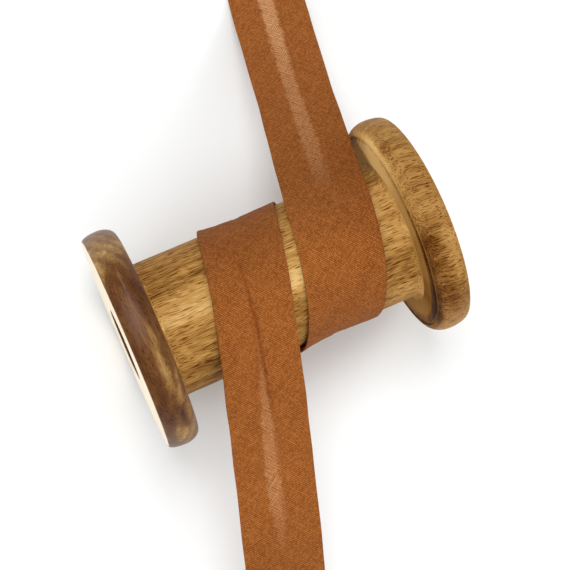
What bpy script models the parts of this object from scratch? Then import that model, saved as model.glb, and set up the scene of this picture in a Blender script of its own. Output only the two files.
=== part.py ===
"""A roll of bias binding: one length of folded cotton binding wound on a turned wooden spool.

The spool lies on its side with its axis along X. The binding comes up from the surface behind the
spool (+Y), goes once round the barrel as a slanting turn, and falls away in front of it (-Y).
The origin ends up on the surface, under the middle of the whole part. Lengths are in metres.
"""
import math

import bmesh
import bpy
import numpy as np

# The spool, three turned pieces glued end to end
SPOOL_LENGTH = 0.100
FLANGE_RADIUS = 0.035
FLANGE_THICKNESS = 0.0103
BARREL_RADIUS = 0.0215
BORE_RADIUS = 0.01125
GLUE_GAP = 0.0003             # left between two pieces that touch
EDGE_BREAK = 0.0005           # sanded edge at the mouth of the bore
FLAT_SPOT = 0.006             # width of the flat that each rim rests on

# The rim of a flange: it crowns towards the end face and is a round bead on the barrel's side
CROWN_WIDTH = 0.0052
CROWN_DROP = 0.0015
BEAD_WIDTH = 0.0051
BEAD_DEPTH = 0.0032
CREASE_WIDTH = 0.0012         # turned groove where the bead meets the flat inner face
CREASE_DEPTH = 0.0007
COVE_RADIUS = 0.0018          # hollow curve that leads from the flange's hub up its inner face

# The binding, cut on the bias and folded once along each side, raw edges to the back
TAPE_WIDTH = 0.025
LAYER = 0.0006                # one thickness of cloth
LAYER_GAP = 0.0003            # air between the front and the flaps folded behind it
RAW_EDGE_GAP = 0.005          # bare strip between the two raw edges
TAPE_CLEARANCE = 0.0004       # between the barrel and the back of the flaps

# The binding's way, seen from the end of the spool. Angles are from the top of the barrel.
BACK_LEAVES = math.radians(34.2)     # where the back tail lifts off the barrel
BACK_BEND_RADIUS = 0.018             # bend where it meets the surface
BACK_FLAT = 0.020                    # length that lies flat
FRONT_LEAVES = math.radians(15.2)    # where the front tail lifts off
FRONT_FALL = (                       # length of a stretch, degrees that it turns down
    (0.070, 5.0),
    (0.030, 7.0),
    (0.022, 9.0),
)
FRONT_BEND_RADIUS = 0.032
FRONT_FLAT = 0.014

# The binding as it lies along its way: metres from the top of the barrel, degrees that it leans
# to the left, its width, and how far its left and right edges stand off the barrel
TAPE_X_AT_TOP = 0.01822
TAPE_COLUMNS = ("along", "lean", "width", "left_lift", "right_lift")
TAPE_ROWS = (
    (-0.110, 11.6, 0.0249, 0.0000, 0.0000),
    (-0.060, 11.2, 0.0243, 0.0000, 0.0000),
    (-0.020, 10.7, 0.0248, 0.0000, 0.0000),
    (0.015, 11.8, 0.0255, 0.0004, 0.0002),
    (0.036, 11.8, 0.0254, 0.0012, 0.0005),
    (0.070, 11.8, 0.0252, 0.0008, 0.0004),
    (0.109, 11.9, 0.0250, 0.0003, 0.0001),
    (0.139, 12.6, 0.0240, 0.0000, 0.0000),
    (0.179, 13.6, 0.0246, 0.0000, 0.0000),
    (0.229, 13.4, 0.0252, 0.0000, 0.0000),
)

# Mesh steps
TURN_STEPS = 72               # round a flange or the barrel
CORNER_STEPS = 4              # over a rounded corner of the rim
FOLD_STEPS = 4                # round a folded edge of the binding
FRONT_STEPS = 4               # across its front
FLAP_STEPS = 2                # across a flap
WRAP_STEP = math.radians(8)   # along the binding where it is on the barrel
TAIL_STEP = 0.006             # along a straight tail
BEND_STEP = 0.0035            # along a bend of a tail
DRIFT_STEPS = 2000            # for adding up how far the binding leans sideways
MERGE_DISTANCE = 0.00001
SHARP_EDGE = math.radians(35)

TAPE_THICKNESS = 2 * LAYER + LAYER_GAP
TAPE_RADIUS = BARREL_RADIUS + TAPE_CLEARANCE + TAPE_THICKNESS / 2
AXIS_HEIGHT = math.sqrt(FLANGE_RADIUS ** 2 - (FLAT_SPOT / 2) ** 2)
BARREL_LENGTH = SPOOL_LENGTH - 2 * (FLANGE_THICKNESS + COVE_RADIUS + GLUE_GAP)


def clear_scene():
    for old in list(bpy.data.objects):
        bpy.data.objects.remove(old, do_unlink=True)


def make_material(name, colour, roughness, coat=0.0):
    material = bpy.data.materials.new(name)
    material.use_nodes = True
    shader = material.node_tree.nodes["Principled BSDF"]
    shader.inputs["Base Color"].default_value = (*colour, 1.0)
    shader.inputs["Roughness"].default_value = roughness
    shader.inputs["Metallic"].default_value = 0.0
    shader.inputs["Coat Weight"].default_value = coat
    material.diffuse_color = (*colour, 1.0)
    return material


def add_object(name, bm, material):
    """Turns a closed bmesh into a named, smooth shaded object."""
    bmesh.ops.recalc_face_normals(bm, faces=bm.faces)
    mesh = bpy.data.meshes.new(name)
    bm.to_mesh(mesh)
    bm.free()
    mesh.shade_smooth()
    mesh.set_sharp_from_angle(angle=SHARP_EDGE)
    mesh.materials.append(material)
    thing = bpy.data.objects.new(name, mesh)
    bpy.context.scene.collection.objects.link(thing)
    return thing


def ellipse_corner(centre, half_width, half_height, start, end, steps):
    """Points of an elliptic corner, from angle start to angle end in degrees, ends included."""
    angles = np.radians(np.linspace(start, end, steps + 1))
    return [(centre[0] + half_width * math.cos(a), centre[1] + half_height * math.sin(a)) for a in angles]


def turned_piece(profile, centre_height):
    """Spins a closed profile of (x, radius) points round the spool's axis."""
    bm = bmesh.new()
    points = [bm.verts.new((x, 0.0, centre_height + radius)) for x, radius in profile]
    loop = [bm.edges.new((points[i - 1], points[i])) for i in range(len(points))]
    bmesh.ops.spin(
        bm, geom=points + loop, cent=(0.0, 0.0, centre_height), axis=(1.0, 0.0, 0.0),
        angle=2 * math.pi, steps=TURN_STEPS, use_merge=True, use_duplicate=False)
    bmesh.ops.remove_doubles(bm, verts=bm.verts, dist=MERGE_DISTANCE)
    return bm


def cut_flat_spot(bm):
    """Planes off what lies below the surface, so that a rim rests on a flat."""
    geometry = list(bm.verts) + list(bm.edges) + list(bm.faces)
    cut = bmesh.ops.bisect_plane(
        bm, geom=geometry, dist=MERGE_DISTANCE / 10, plane_co=(0.0, 0.0, 0.0),
        plane_no=(0.0, 0.0, 1.0), clear_inner=True)
    rim = [item for item in cut["geom_cut"] if isinstance(item, bmesh.types.BMEdge)]
    bmesh.ops.edgenet_fill(bm, edges=rim)


def flange_profile():
    """Closed outline of a flange, x from its end face (0) to its hub, with the radius.

    It goes over the crown and the bead, down the inner face, along the cove to the hub, which is
    as thick as the barrel that meets it, and back through the bore.
    """
    inner = FLANGE_THICKNESS
    hub = inner + COVE_RADIUS
    bead_foot = FLANGE_RADIUS - BEAD_DEPTH
    crown = ellipse_corner(
        (CROWN_WIDTH, FLANGE_RADIUS - CROWN_DROP), CROWN_WIDTH, CROWN_DROP, 180, 90, CORNER_STEPS)
    bead = ellipse_corner(
        (inner - BEAD_WIDTH, bead_foot), BEAD_WIDTH, BEAD_DEPTH, 90, 0, CORNER_STEPS)
    crease = [
        (inner - CREASE_DEPTH, bead_foot - CREASE_WIDTH / 2),
        (inner, bead_foot - CREASE_WIDTH),
    ]
    cove = ellipse_corner(
        (hub, BARREL_RADIUS + COVE_RADIUS), COVE_RADIUS, COVE_RADIUS, 180, 270, CORNER_STEPS)
    bore = [
        (hub, BORE_RADIUS),
        (EDGE_BREAK, BORE_RADIUS),
        (0.0, BORE_RADIUS + EDGE_BREAK),
    ]
    return crown + bead + crease + cove + bore


def make_flange(name, side, material):
    """side is -1 for the left flange and 1 for the right one; the two are mirror images."""
    end_face = side * SPOOL_LENGTH / 2
    profile = [(end_face - side * x, radius) for x, radius in flange_profile()]
    bm = turned_piece(profile, AXIS_HEIGHT)
    cut_flat_spot(bm)
    return add_object(name, bm, material)


def make_barrel(material):
    half = BARREL_LENGTH / 2
    profile = [(-half, BORE_RADIUS), (-half, BARREL_RADIUS), (half, BARREL_RADIUS), (half, BORE_RADIUS)]
    return add_object("spool_barrel", turned_piece(profile, AXIS_HEIGHT), material)


def eased_table(column, along):
    """Reads one column of the binding's table, eased from row to row."""
    rows = np.array(TAPE_ROWS)
    values = rows[:, TAPE_COLUMNS.index(column)]
    places = rows[:, 0]
    along = np.clip(along, places[0], places[-1])
    row = np.clip(np.searchsorted(places, along) - 1, 0, len(places) - 2)
    share = (along - places[row]) / (places[row + 1] - places[row])
    share = share * share * (3 - 2 * share)
    return values[row] + share * (values[row + 1] - values[row])


def stretch(start, heading, length, turn):
    """One stretch of a tail, out from the barrel: constant turn along its length.

    start is (distance out, height), heading and turn are angles below level. Returns the points
    after the start, their headings, and the length at each.
    """
    step = BEND_STEP if turn else TAIL_STEP
    count = max(1, math.ceil(length / step))
    share = np.arange(1, count + 1) / count
    headings = heading + turn * share
    middles = heading + turn * (share - 0.5 / count)
    piece = length / count
    out = start[0] + np.cumsum(np.cos(middles)) * piece
    height = start[1] - np.cumsum(np.sin(middles)) * piece
    return out, height, headings, length * share


def tail_route(leaves, fall, bend_radius, flat):
    """A tail from where it leaves the barrel to its cut end, which lies flat on the surface.

    fall lists stretches of (length, turn) that steepen it. A straight stretch then brings it down
    to the bend that lays it on the surface.
    """
    place = (TAPE_RADIUS * math.sin(leaves), AXIS_HEIGHT + TAPE_RADIUS * math.cos(leaves))
    heading = leaves
    outs, heights, headings, lengths = [], [], [], []
    done = 0.0

    def add(length, turn):
        nonlocal place, heading, done
        out, height, angle, along = stretch(place, heading, length, turn)
        outs.append(out)
        heights.append(height)
        headings.append(angle)
        lengths.append(done + along)
        place = (out[-1], height[-1])
        heading = angle[-1]
        done = lengths[-1][-1]

    for length, turn in fall:
        add(length, turn)
    drop_in_bend = bend_radius * (1 - math.cos(heading))
    left_to_fall = place[1] - TAPE_THICKNESS / 2 - drop_in_bend
    add(left_to_fall / math.sin(heading), 0.0)
    add(bend_radius * heading, -heading)
    lying = len(np.concatenate(heights))
    add(flat, 0.0)
    heights = np.concatenate(heights)
    heights[lying - 1:] = TAPE_THICKNESS / 2
    return np.concatenate(outs), heights, np.concatenate(headings), np.concatenate(lengths)


def side_route():
    """The binding's way in the Y-Z plane, from the back tail's end to the front tail's end.

    Returns the distance along it (0 at the top of the barrel), the points of its middle surface,
    and the direction that faces away from the barrel.
    """
    back_out, back_height, back_heading, back_length = tail_route(
        BACK_LEAVES, (), BACK_BEND_RADIUS, BACK_FLAT)
    fall = [(length, math.radians(turn)) for length, turn in FRONT_FALL]
    front_out, front_height, front_heading, front_length = tail_route(
        FRONT_LEAVES, fall, FRONT_BEND_RADIUS, FRONT_FLAT)
    last = 2 * math.pi + FRONT_LEAVES
    angles = np.linspace(-BACK_LEAVES, last, math.ceil((last + BACK_LEAVES) / WRAP_STEP) + 1)

    along = np.concatenate([
        -TAPE_RADIUS * BACK_LEAVES - back_length[::-1],
        TAPE_RADIUS * angles,
        TAPE_RADIUS * last + front_length])
    y = np.concatenate([back_out[::-1], -TAPE_RADIUS * np.sin(angles), -front_out])
    z = np.concatenate([
        back_height[::-1], AXIS_HEIGHT + TAPE_RADIUS * np.cos(angles), front_height])
    outward_y = np.concatenate([
        np.sin(back_heading[::-1]), -np.sin(angles), -np.sin(front_heading)])
    outward_z = np.concatenate([
        np.cos(back_heading[::-1]), np.cos(angles), np.cos(front_heading)])
    return along, y, z, outward_y, outward_z


def folded_section(width):
    """The folded binding cut across, as two matching rows of points (across, through).

    The cloth's own line runs from one raw edge along its flap, round the fold, across the front,
    round the other fold and back to the other raw edge. The rows lie half a layer outside and
    half a layer inside that line. through is 0 at the middle of the folded thickness.
    """
    turn = (LAYER + LAYER_GAP) / 2
    fold = width / 2 - TAPE_THICKNESS / 2
    raw = RAW_EDGE_GAP / 2
    right_flap = [(across, -turn, 0.0, -1.0) for across in np.linspace(raw, fold, FLAP_STEPS + 1)]
    right_fold = [
        (fold + turn * math.cos(a), turn * math.sin(a), math.cos(a), math.sin(a))
        for a in np.linspace(-math.pi / 2, math.pi / 2, FOLD_STEPS + 1)[1:-1]]
    front = [(across, turn, 0.0, 1.0) for across in np.linspace(fold, -fold, FRONT_STEPS + 1)]
    left_fold = [(-x, z, -nx, nz) for x, z, nx, nz in reversed(right_fold)]
    left_flap = [(-x, z, nx, nz) for x, z, nx, nz in reversed(right_flap)]
    line = np.array(right_flap + right_fold + front + left_fold + left_flap)
    outside = line[:, :2] + line[:, 2:] * LAYER / 2
    inside = line[:, :2] - line[:, 2:] * LAYER / 2
    return outside, inside


def tape_stations(route_along):
    """Where cross sections stand: the route's own points, less the ends that a slant would leave."""
    steepest = max(row[TAPE_COLUMNS.index("lean")] for row in TAPE_ROWS)
    lean_reach = TAPE_WIDTH / 2 * math.sin(math.radians(steepest))
    inside = (route_along > route_along[0] + lean_reach) & (route_along < route_along[-1] - lean_reach)
    return np.concatenate([
        [route_along[0] + lean_reach], route_along[inside], [route_along[-1] - lean_reach]])


def make_tape(material):
    """Carries the folded section along its way, leaning as the table says.

    Lines across the way stay level along X, so a section that leans by an angle meets the way
    earlier on its right side and later on its left.
    """
    along, y, z, outward_y, outward_z = side_route()
    stations = tape_stations(along)
    fine = np.linspace(along[0], along[-1], DRIFT_STEPS)
    slope = np.tan(np.radians(eased_table("lean", fine)))
    drift = np.concatenate([[0.0], np.cumsum((slope[1:] + slope[:-1]) / 2 * np.diff(fine))])
    drift -= np.interp(0.0, fine, drift)

    rings = []
    bm = bmesh.new()
    for station in stations:
        lean = math.radians(float(eased_table("lean", station)))
        outside, inside = folded_section(float(eased_table("width", station)))
        across, through = np.concatenate([outside, inside[::-1]]).T
        place = station + across * math.sin(lean)
        edge_share = across / (TAPE_WIDTH / 2)
        lift = (float(eased_table("left_lift", station)) * np.clip(-edge_share, 0, 1) ** 2
                + float(eased_table("right_lift", station)) * np.clip(edge_share, 0, 1) ** 2)
        off = through + lift
        x = TAPE_X_AT_TOP - np.interp(station, fine, drift) + across * math.cos(lean)
        ring_y = np.interp(place, along, y) + off * np.interp(place, along, outward_y)
        ring_z = np.interp(place, along, z) + off * np.interp(place, along, outward_z)
        rings.append([bm.verts.new(point) for point in zip(x, ring_y, ring_z)])

    for first, second in zip(rings[:-1], rings[1:]):
        for i in range(len(first)):
            bm.faces.new((first[i - 1], first[i], second[i], second[i - 1]))
    for ring in (rings[0], rings[-1]):
        cut = len(ring) // 2
        outer, inner = ring[:cut], ring[cut:][::-1]
        for i in range(1, cut):
            bm.faces.new((outer[i - 1], outer[i], inner[i], inner[i - 1]))
    return add_object("bias_binding", bm, material)


def stand_on_origin(things):
    """Moves everything so that the origin is under the middle of the whole part."""
    corners = np.array([vertex.co[:2] for thing in things for vertex in thing.data.vertices])
    middle = (corners.min(axis=0) + corners.max(axis=0)) / 2
    for thing in things:
        thing.location = (-middle[0], -middle[1], 0.0)


def main():
    clear_scene()
    barrel_wood = make_material("golden_wood", (0.39, 0.23, 0.075), 0.42)
    left_wood = make_material("dark_figured_wood", (0.21, 0.095, 0.035), 0.28, coat=0.4)
    right_wood = make_material("tan_figured_wood", (0.32, 0.17, 0.055), 0.30, coat=0.4)
    cotton = make_material("rust_cotton", (0.33, 0.10, 0.026), 0.85)
    things = [
        make_barrel(barrel_wood),
        make_flange("spool_flange_left", -1, left_wood),
        make_flange("spool_flange_right", 1, right_wood),
        make_tape(cotton),
    ]
    stand_on_origin(things)


main()
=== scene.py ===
# %% [markdown]
# # A roll of bias binding, dressed
#
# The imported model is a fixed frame: a turned wooden spool of three glued pieces, and one length of
# folded cotton binding wound once round it. This lesson makes the surfaces that a person sees.
# Each shape is a function of two parameters, worked out with numpy as whole arrays, and each
# finish is a small network of nodes whose pattern sizes are given in millimetres.

# %% Load the frame
import math

import bpy
import numpy as np
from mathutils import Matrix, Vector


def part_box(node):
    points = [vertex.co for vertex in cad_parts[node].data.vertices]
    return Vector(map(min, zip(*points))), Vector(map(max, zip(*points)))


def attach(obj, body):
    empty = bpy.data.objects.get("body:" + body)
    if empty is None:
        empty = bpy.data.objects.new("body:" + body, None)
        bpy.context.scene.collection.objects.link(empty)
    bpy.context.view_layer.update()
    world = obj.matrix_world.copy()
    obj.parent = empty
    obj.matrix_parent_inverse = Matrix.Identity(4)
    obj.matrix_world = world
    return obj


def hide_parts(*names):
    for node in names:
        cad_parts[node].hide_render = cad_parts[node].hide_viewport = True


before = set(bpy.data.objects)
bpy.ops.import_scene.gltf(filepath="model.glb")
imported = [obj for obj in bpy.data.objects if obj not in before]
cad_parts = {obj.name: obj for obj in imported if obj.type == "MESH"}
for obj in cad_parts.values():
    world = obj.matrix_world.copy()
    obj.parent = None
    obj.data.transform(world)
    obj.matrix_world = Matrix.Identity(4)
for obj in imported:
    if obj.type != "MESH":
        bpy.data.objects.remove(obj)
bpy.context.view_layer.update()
MM = 0.001
print("nodes:", ", ".join(sorted(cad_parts)))

# %% [markdown]
# ## Where the spool is
#
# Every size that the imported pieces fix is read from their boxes, so the fine surfaces land where
# the plain solids are. The spool's axis runs along X. The rims are planed flat where they rest,
# so the height of the axis is found from the top of a rim and its radius.

# %% Read the spool's sizes from the frame
left_low, left_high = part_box("spool_flange_left")
_, right_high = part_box("spool_flange_right")
barrel_low, barrel_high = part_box("spool_barrel")

RIM_RADIUS = (left_high.y - left_low.y) / 2
BARREL_RADIUS = (barrel_high.y - barrel_low.y) / 2
AXIS_Y = (left_high.y + left_low.y) / 2
AXIS_Z = left_high.z - RIM_RADIUS
MIDDLE_X = (left_low.x + right_high.x) / 2
print(f"rim radius {RIM_RADIUS / MM:.2f} mm, barrel radius {BARREL_RADIUS / MM:.2f} mm")

# %% [markdown]
# ## A mesh from a grid of points
#
# A surface in two parameters is a grid, and its faces join each point to its neighbours. Where the
# surface closes on itself, as round a turned piece, the last row or column joins the first. The
# faces are worked out as index arrays, and foreach_set hands them to Blender in one go.


# %% Turn a grid into a mesh object
def grid_object(name, points, close_rows=False, close_columns=False, caps=(), uv=None):
    """points[i, j] is the place of row i, column j. Face (i, j) joins it to row i+1, column j+1.

    caps lists extra quads as four index arrays. uv, if given, has one pair for each point.
    """
    rows, columns = points.shape[:2]
    index = np.arange(rows * columns).reshape(rows, columns)
    if close_rows:
        index = np.vstack([index, index[:1]])
    if close_columns:
        index = np.hstack([index, index[:, :1]])
    quads = np.stack([index[:-1, :-1], index[:-1, 1:], index[1:, 1:], index[1:, :-1]], axis=-1)
    quads = np.concatenate([quads.reshape(-1, 4), *[np.stack(cap, axis=-1) for cap in caps]])

    mesh = bpy.data.meshes.new(name)
    mesh.vertices.add(rows * columns)
    mesh.vertices.foreach_set("co", points.astype(np.float32).ravel())
    mesh.loops.add(quads.size)
    mesh.loops.foreach_set("vertex_index", quads.astype(np.int32).ravel())
    mesh.polygons.add(len(quads))
    mesh.polygons.foreach_set("loop_start", np.arange(0, quads.size, 4, dtype=np.int32))
    if uv is not None:
        layer = mesh.uv_layers.new(name="cloth")
        corners = uv.reshape(-1, 2)[quads.ravel()]
        layer.data.foreach_set("uv", corners.astype(np.float32).ravel())
    mesh.update(calc_edges=True)
    mesh.validate()
    mesh.shade_smooth()
    thing = bpy.data.objects.new(name, mesh)
    bpy.context.scene.collection.objects.link(thing)
    print(f"{name}: {len(quads) * 2} triangles")
    return thing


def point_attribute(thing, name, values):
    """Stores one number for each point of the mesh, for its material to read."""
    layer = thing.data.attributes.new(name, "FLOAT", "POINT")
    layer.data.foreach_set("value", values.astype(np.float32).ravel())


# %% [markdown]
# ## Smooth unevenness
#
# Handmade things are never quite even. A sum of a few sine waves with seeded random directions and
# phases is a cheap smooth noise: it is the same each run, and it can be read at any point.

# %% Seeded smooth noise
WAVES = 9
WAVE_STRETCH = (0.6, 1.6)     # how often the slowest and the fastest wave repeat over size
WAVE_PEAK = 1.4               # brings the sum to about -1 to 1


def soft_noise(places, size, seed):
    """Sum of sine waves over places (last axis 1 or 2), about -1 to 1, features near size."""
    rng = np.random.default_rng(seed)
    directions = rng.normal(size=(WAVES, places.shape[-1]))
    directions /= np.linalg.norm(directions, axis=1, keepdims=True)
    stretch = rng.uniform(*WAVE_STRETCH, size=(WAVES, 1))
    phases = rng.uniform(0, 2 * np.pi, size=WAVES)
    total = np.sin(places @ (directions * stretch * 2 * np.pi / size).T + phases)
    return total.sum(axis=-1) / math.sqrt(WAVES) / WAVE_PEAK


def eased(values, start, end):
    """Rises smoothly from 0 at start to 1 at end, level at both ends."""
    share = np.clip((values - start) / (end - start), 0, 1)
    return share * share * (3 - 2 * share)


trial = soft_noise(np.linspace(0, 10, 400)[:, None], size=1.0, seed=1)
print(f"soft noise runs from {trial.min():.2f} to {trial.max():.2f}")


# %% [markdown]
# ## The turned wood
#
# A turner cuts one outline while the blank spins, so a turned piece is that outline carried round
# the axis. The outline here is a closed list of corners, arcs and straight runs. It is sampled
# finely enough that the bead and the crown look round at their edge, and the flat on which the rim
# rests is made by lifting whatever would lie below the surface.

# %% Carry an outline round the spool's axis
TURN_STEPS = 288
ARC_STEP = math.radians(7)


def arc(centre, half_width, half_height, start, end):
    """Points of an elliptic arc from angle start to end, in degrees, both ends included."""
    count = max(2, math.ceil(abs(math.radians(end - start)) / ARC_STEP) + 1)
    angles = np.radians(np.linspace(start, end, count))
    return np.stack(
        [centre[0] + half_width * np.cos(angles), centre[1] + half_height * np.sin(angles)], axis=1)


def turned_object(name, outline):
    """outline holds (x, radius). Point (i, j) is outline point i turned by angle j about the axis."""
    angles = np.linspace(0, 2 * np.pi, TURN_STEPS, endpoint=False)
    x = np.repeat(outline[:, :1], TURN_STEPS, axis=1)
    y = AXIS_Y - outline[:, 1:] * np.sin(angles)
    z = AXIS_Z + outline[:, 1:] * np.cos(angles)
    points = np.stack([x, y, np.maximum(z, 0.0)], axis=-1)
    return grid_object(name, points, close_rows=True, close_columns=True)


print(f"a step round the rim is {2 * math.pi * RIM_RADIUS / TURN_STEPS / MM:.2f} mm")


# %% [markdown]
# ## The flanges
#
# Each flange is a disc with a wide soft rim. Towards its end face the rim crowns a little, and
# towards the barrel it rolls over into a round bead. A narrow groove, cut with the point of the
# skew, parts the bead from the flat inner face. The bore goes right through, with its mouth sanded.

# %% Outline of a flange
FLANGE_THICKNESS = 10.3 * MM
BORE_RADIUS = 11.25 * MM
CROWN_WIDTH, CROWN_DROP = 5.2 * MM, 1.5 * MM
BEAD_WIDTH, BEAD_DEPTH = 5.1 * MM, 3.2 * MM
CREASE_WIDTH, CREASE_DEPTH = 1.2 * MM, 0.5 * MM
MOUTH_ROUND = 0.4 * MM
FACE_POINTS, BORE_POINTS = 7, 5


def straight(start, end, count):
    """Points of a straight run from start to end, without its last point."""
    share = np.linspace(0, 1, count, endpoint=False)[:, None]
    return np.array(start) + share * (np.array(end) - np.array(start))


def flange_outline():
    """From the end face (x 0) over crown and bead, down the inner face, and back through the bore."""
    inner = FLANGE_THICKNESS
    bead_foot = RIM_RADIUS - BEAD_DEPTH
    return np.concatenate([
        straight((0, BORE_RADIUS + MOUTH_ROUND), (0, RIM_RADIUS - CROWN_DROP), FACE_POINTS),
        arc((CROWN_WIDTH, RIM_RADIUS - CROWN_DROP), CROWN_WIDTH, CROWN_DROP, 180, 90),
        arc((inner - BEAD_WIDTH, bead_foot), BEAD_WIDTH, BEAD_DEPTH, 90, 0),
        arc((inner, bead_foot - CREASE_WIDTH / 2), CREASE_DEPTH, CREASE_WIDTH / 2, 90, 270)[1:-1],
        straight((inner, bead_foot - CREASE_WIDTH), (inner, BORE_RADIUS), FACE_POINTS),
        straight((inner, BORE_RADIUS), (MOUTH_ROUND, BORE_RADIUS), BORE_POINTS),
        arc((MOUTH_ROUND, BORE_RADIUS + MOUTH_ROUND), MOUTH_ROUND, MOUTH_ROUND, 270, 180)[:-1],
    ])


print(f"a flange's outline has {len(flange_outline())} points")


# %% Turn the two flanges
left_outline = flange_outline() + (left_low.x, 0)
right_outline = flange_outline() * (-1, 1) + (right_high.x, 0)
flange_left = turned_object("flange_left_turned", left_outline)
flange_right = turned_object("flange_right_turned", right_outline[::-1])

# %% [markdown]
# ## The barrel
#
# The barrel is a tube that runs up in a small cove at each end, where the turner's gouge rolled
# into the flange. Carrying its wood over the cove hides the glue line in the corner.

# %% Turn the barrel
COVE_RADIUS = 1.8 * MM
GLUE_LINE = 0.03 * MM
LENGTH_POINTS, END_POINTS, TUBE_POINTS = 60, 4, 12

barrel_start = left_low.x + FLANGE_THICKNESS + GLUE_LINE
barrel_end = right_high.x - FLANGE_THICKNESS - GLUE_LINE
cove_top = BARREL_RADIUS + COVE_RADIUS
barrel_outline = np.concatenate([
    arc((barrel_start + COVE_RADIUS, cove_top), COVE_RADIUS, COVE_RADIUS, 180, 270)[:-1],
    straight((barrel_start + COVE_RADIUS, BARREL_RADIUS), (barrel_end - COVE_RADIUS, BARREL_RADIUS),
             LENGTH_POINTS),
    arc((barrel_end - COVE_RADIUS, cove_top), COVE_RADIUS, COVE_RADIUS, 270, 360),
    straight((barrel_end, cove_top), (barrel_end, BORE_RADIUS), END_POINTS)[1:],
    straight((barrel_end, BORE_RADIUS), (barrel_start, BORE_RADIUS), TUBE_POINTS),
    straight((barrel_start, BORE_RADIUS), (barrel_start, cove_top), END_POINTS),
])
barrel = turned_object("barrel_turned", barrel_outline)

# %% [markdown]
# ## The binding's way
#
# Seen from the end of the spool, the binding climbs from the surface behind, goes once round the
# barrel and falls away in front. A heading below level says all of that: it is steady on a straight
# tail, it grows evenly on the barrel, and it changes evenly where a tail bends. So the way is a
# short list of (length, heading at its end), and its points are the running sums of the heading's
# cosine and sine.

# %% Lay out the way as lengths and headings
LAYER = 0.24 * MM
AIR = 0.08 * MM
FOLDED = 2 * LAYER + AIR
WRAP_RADIUS = 22.15 * MM
BACK_LEAVES = math.radians(34.2)
BACK_BEND_RADIUS = 18 * MM
BACK_FLAT = 20 * MM
FRONT_LEAVES = math.radians(15.2)
FRONT_FALL = ((70 * MM, 5.0), (30 * MM, 7.0), (22 * MM, 9.0))     # length, degrees it turns down
FRONT_BEND_RADIUS = 32 * MM
FRONT_FLAT = 14 * MM
WAY_STEP = 0.1 * MM


def fall_over(length, start, end):
    """How far a stretch goes down while its heading turns evenly from start to end."""
    return length * (math.cos(start) - math.cos(end)) / (end - start)


def straight_to_floor(height, heading, bend_radius):
    """Length of the straight run that leaves just the bend to come down to the surface."""
    return (height - FOLDED / 2 - bend_radius * (1 - math.cos(heading))) / math.sin(heading)


back_height = AXIS_Z + WRAP_RADIUS * math.cos(BACK_LEAVES)
front_height = AXIS_Z + WRAP_RADIUS * math.cos(FRONT_LEAVES)
headings = [FRONT_LEAVES]
for length, turn in FRONT_FALL:
    headings.append(headings[-1] + math.radians(turn))
    front_height -= fall_over(length, headings[-2], headings[-1])

full_turn = 2 * math.pi
way = [
    (BACK_FLAT, 0.0),
    (BACK_BEND_RADIUS * BACK_LEAVES, -BACK_LEAVES),
    (straight_to_floor(back_height, BACK_LEAVES, BACK_BEND_RADIUS), -BACK_LEAVES),
    (WRAP_RADIUS * (BACK_LEAVES + full_turn + FRONT_LEAVES), full_turn + FRONT_LEAVES),
    *[(length, full_turn + angle) for (length, _), angle in zip(FRONT_FALL, headings[1:])],
    (straight_to_floor(front_height, headings[-1], FRONT_BEND_RADIUS), full_turn + headings[-1]),
    (FRONT_BEND_RADIUS * headings[-1], full_turn),
    (FRONT_FLAT, full_turn),
]
knots = np.concatenate([[0.0], np.cumsum([length for length, _ in way])])
knots -= sum(length for length, _ in way[:3]) + WRAP_RADIUS * BACK_LEAVES
knot_headings = np.array([0.0] + [heading for _, heading in way])
print(f"the way is {(knots[-1] - knots[0]) / MM:.0f} mm long")

# %% Add the headings up into points
along = np.arange(knots[0], knots[-1], WAY_STEP)
heading = np.interp(along, knots, knot_headings)
middle_heading = (heading[1:] + heading[:-1]) / 2
way_y = np.concatenate([[0.0], -np.cumsum(np.cos(middle_heading)) * WAY_STEP])
way_z = np.concatenate([[0.0], -np.cumsum(np.sin(middle_heading)) * WAY_STEP])
way_y += AXIS_Y - np.interp(0.0, along, way_y)
way_z += AXIS_Z + WRAP_RADIUS - np.interp(0.0, along, way_z)
print(f"the ends lie at heights {way_z[0] / MM:.2f} and {way_z[-1] / MM:.2f} mm")

# %% [markdown]
# ## How the binding lies along its way
#
# A person wound this by hand, so it leans by a slightly different angle and is a slightly
# different width from place to place. A short table gives these, and one edge of each turn stands
# a little off the barrel, because cloth cut on the bias stretches into a curve.

# %% The table of the winding
TABLE = np.array([
    # along, lean in degrees, width, left edge's lift, right edge's lift
    (-110, 11.6, 24.9, 0.0, 0.0),
    (-60, 11.2, 24.2, 0.0, 0.0),
    (-20, 10.7, 25.5, 0.0, 0.0),
    (15, 11.8, 25.5, 0.5, 0.2),
    (36, 11.8, 25.4, 1.2, 0.5),
    (70, 11.8, 25.2, 0.8, 0.4),
    (109, 11.9, 25.0, 0.9, 0.3),
    (139, 12.6, 23.9, 0.0, 0.0),
    (179, 13.5, 24.6, 0.0, 0.0),
    (229, 13.4, 25.2, 0.0, 0.0),
], dtype=float)
TABLE[:, [0, 2, 3, 4]] *= MM
TABLE[:, 1] = np.radians(TABLE[:, 1])
X_AT_TOP = MIDDLE_X + 18.5 * MM


def from_table(column, places):
    """Reads a column of the table at places along the way, eased from row to row."""
    row = np.clip(np.searchsorted(TABLE[:, 0], places) - 1, 0, len(TABLE) - 2)
    share = eased(places, TABLE[row, 0], TABLE[row + 1, 0])
    return TABLE[row, column] + share * (TABLE[row + 1, column] - TABLE[row, column])


lean_slope = np.tan(from_table(1, along))
drift = np.concatenate([[0.0], np.cumsum((lean_slope[1:] + lean_slope[:-1]) / 2) * WAY_STEP])
drift -= np.interp(0.0, along, drift)
print(f"it drifts {(drift[-1] - drift[0]) / MM:.0f} mm to the left on its way")

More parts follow.
